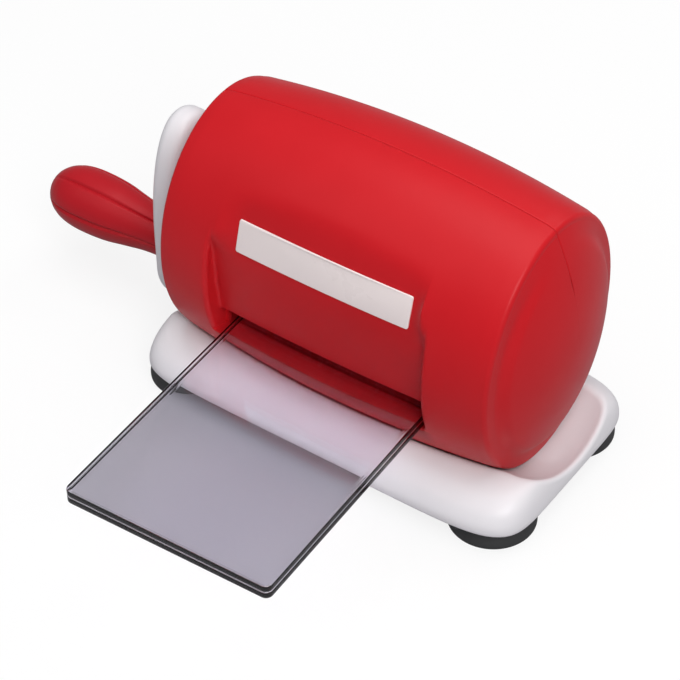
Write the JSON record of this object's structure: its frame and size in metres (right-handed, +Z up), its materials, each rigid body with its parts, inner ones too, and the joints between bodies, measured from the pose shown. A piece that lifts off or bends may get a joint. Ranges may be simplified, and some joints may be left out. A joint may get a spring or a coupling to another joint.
{
  "type": "die cutting machine",
  "caption": "Hand cranked die cutting machine with an oval barrel housing, geared rollers on a saddle base, a crank with a turning grip, and clear cutting plates in the mouth.",
  "frame": {"origin": "on the flat underside of the base, below the middle of the rollers", "axes": "+X along the rollers, away from the crank; -Y out of the front mouth, with the label above it; +Z up"},
  "size_m": [0.2199, 0.1658, 0.1089],
  "materials": {
    "white_plastic": "satin moulded",
    "red_plastic": "satin moulded",
    "grip_red_plastic": "satin moulded",
    "label_white": "smooth and bare",
    "clear_plastic": "polished clear acrylic",
    "black_rubber": "smooth",
    "steel": "ground",
    "plated_steel": "zinc plated",
    "bronze": "sintered bronze",
    "grey_plastic": "moulded gear plastic"
  },
  "bodies": {
    "housing": {"base": "white_plastic", "foot_front_left": "black_rubber", "foot_front_right": "black_rubber", "foot_rear_left": "black_rubber", "foot_rear_right": "black_rubber", "cover_screw_front_left": "plated_steel", "cover_screw_front_right": "plated_steel", "cover_screw_rear_left": "plated_steel", "cover_screw_rear_right": "plated_steel", "frame_screw_left": "plated_steel", "frame_screw_right": "plated_steel", "cover_front": "red_plastic", "cover_rear": "red_plastic", "guide_bed_front": "red_plastic", "guide_bed_rear": "red_plastic", "label": "label_white", "side_frame_left": "plated_steel", "side_frame_right": "plated_steel", "tie_rod_upper_front": "steel", "tie_rod_upper_rear": "steel", "tie_rod_lower_front": "steel", "tie_rod_lower_rear": "steel", "bushing_lower_left": "bronze", "bushing_lower_right": "bronze", "bushing_upper_left": "bronze", "bushing_upper_right": "bronze", "bushing_crank_left": "bronze", "bushing_crank_right": "bronze"},
    "upper_roller": {"roller_upper": "steel", "gear_upper": "grey_plastic", "ring_upper_right": "plated_steel", "ring_upper_gear": "plated_steel"},
    "lower_roller": {"roller_lower": "steel", "gear_lower": "grey_plastic", "ring_lower_right": "plated_steel", "ring_lower_gear": "plated_steel"},
    "crank": {"crank_shaft": "steel", "pinion": "grey_plastic", "ring_crank_right": "plated_steel", "ring_pinion": "plated_steel", "crank_arm": "white_plastic", "hub_screw": "plated_steel", "grip_pin": "steel"},
    "grip": {"grip": "grip_red_plastic"},
    "plates": {"plate_lower": "clear_plastic", "plate_upper": "clear_plastic"}
  },
  "joints": [
    {"name": "upper_roller_spin", "type": "hinge", "parent": "housing", "child": "upper_roller", "pos_m": [0, 0, 0.04266], "axis": [1, 0, 0], "continuous": true},
    {"name": "lower_roller_spin", "type": "hinge", "parent": "housing", "child": "lower_roller", "pos_m": [0, 0, 0.01786], "axis": [1, 0, 0], "continuous": true},
    {"name": "crank_spin", "type": "hinge", "parent": "housing", "child": "crank", "pos_m": [0, 0, 0.06436], "axis": [1, 0, 0], "continuous": true},
    {"name": "grip_spin", "type": "hinge", "parent": "crank", "child": "grip", "pos_m": [-0.085, 0, 0.01936], "axis": [-1, 0, 0], "continuous": true},
    {"name": "plates_feed", "type": "slide", "parent": "housing", "child": "plates", "axis": [-0.0359, 0.9994, 0], "range_m": [-0.03, 0.105]}
  ],
  "couplings": [
    {"joint": "lower_roller_spin", "follows": "upper_roller_spin", "ratio": -1},
    {"joint": "crank_spin", "follows": "upper_roller_spin", "ratio": -1.3333}
  ]
}
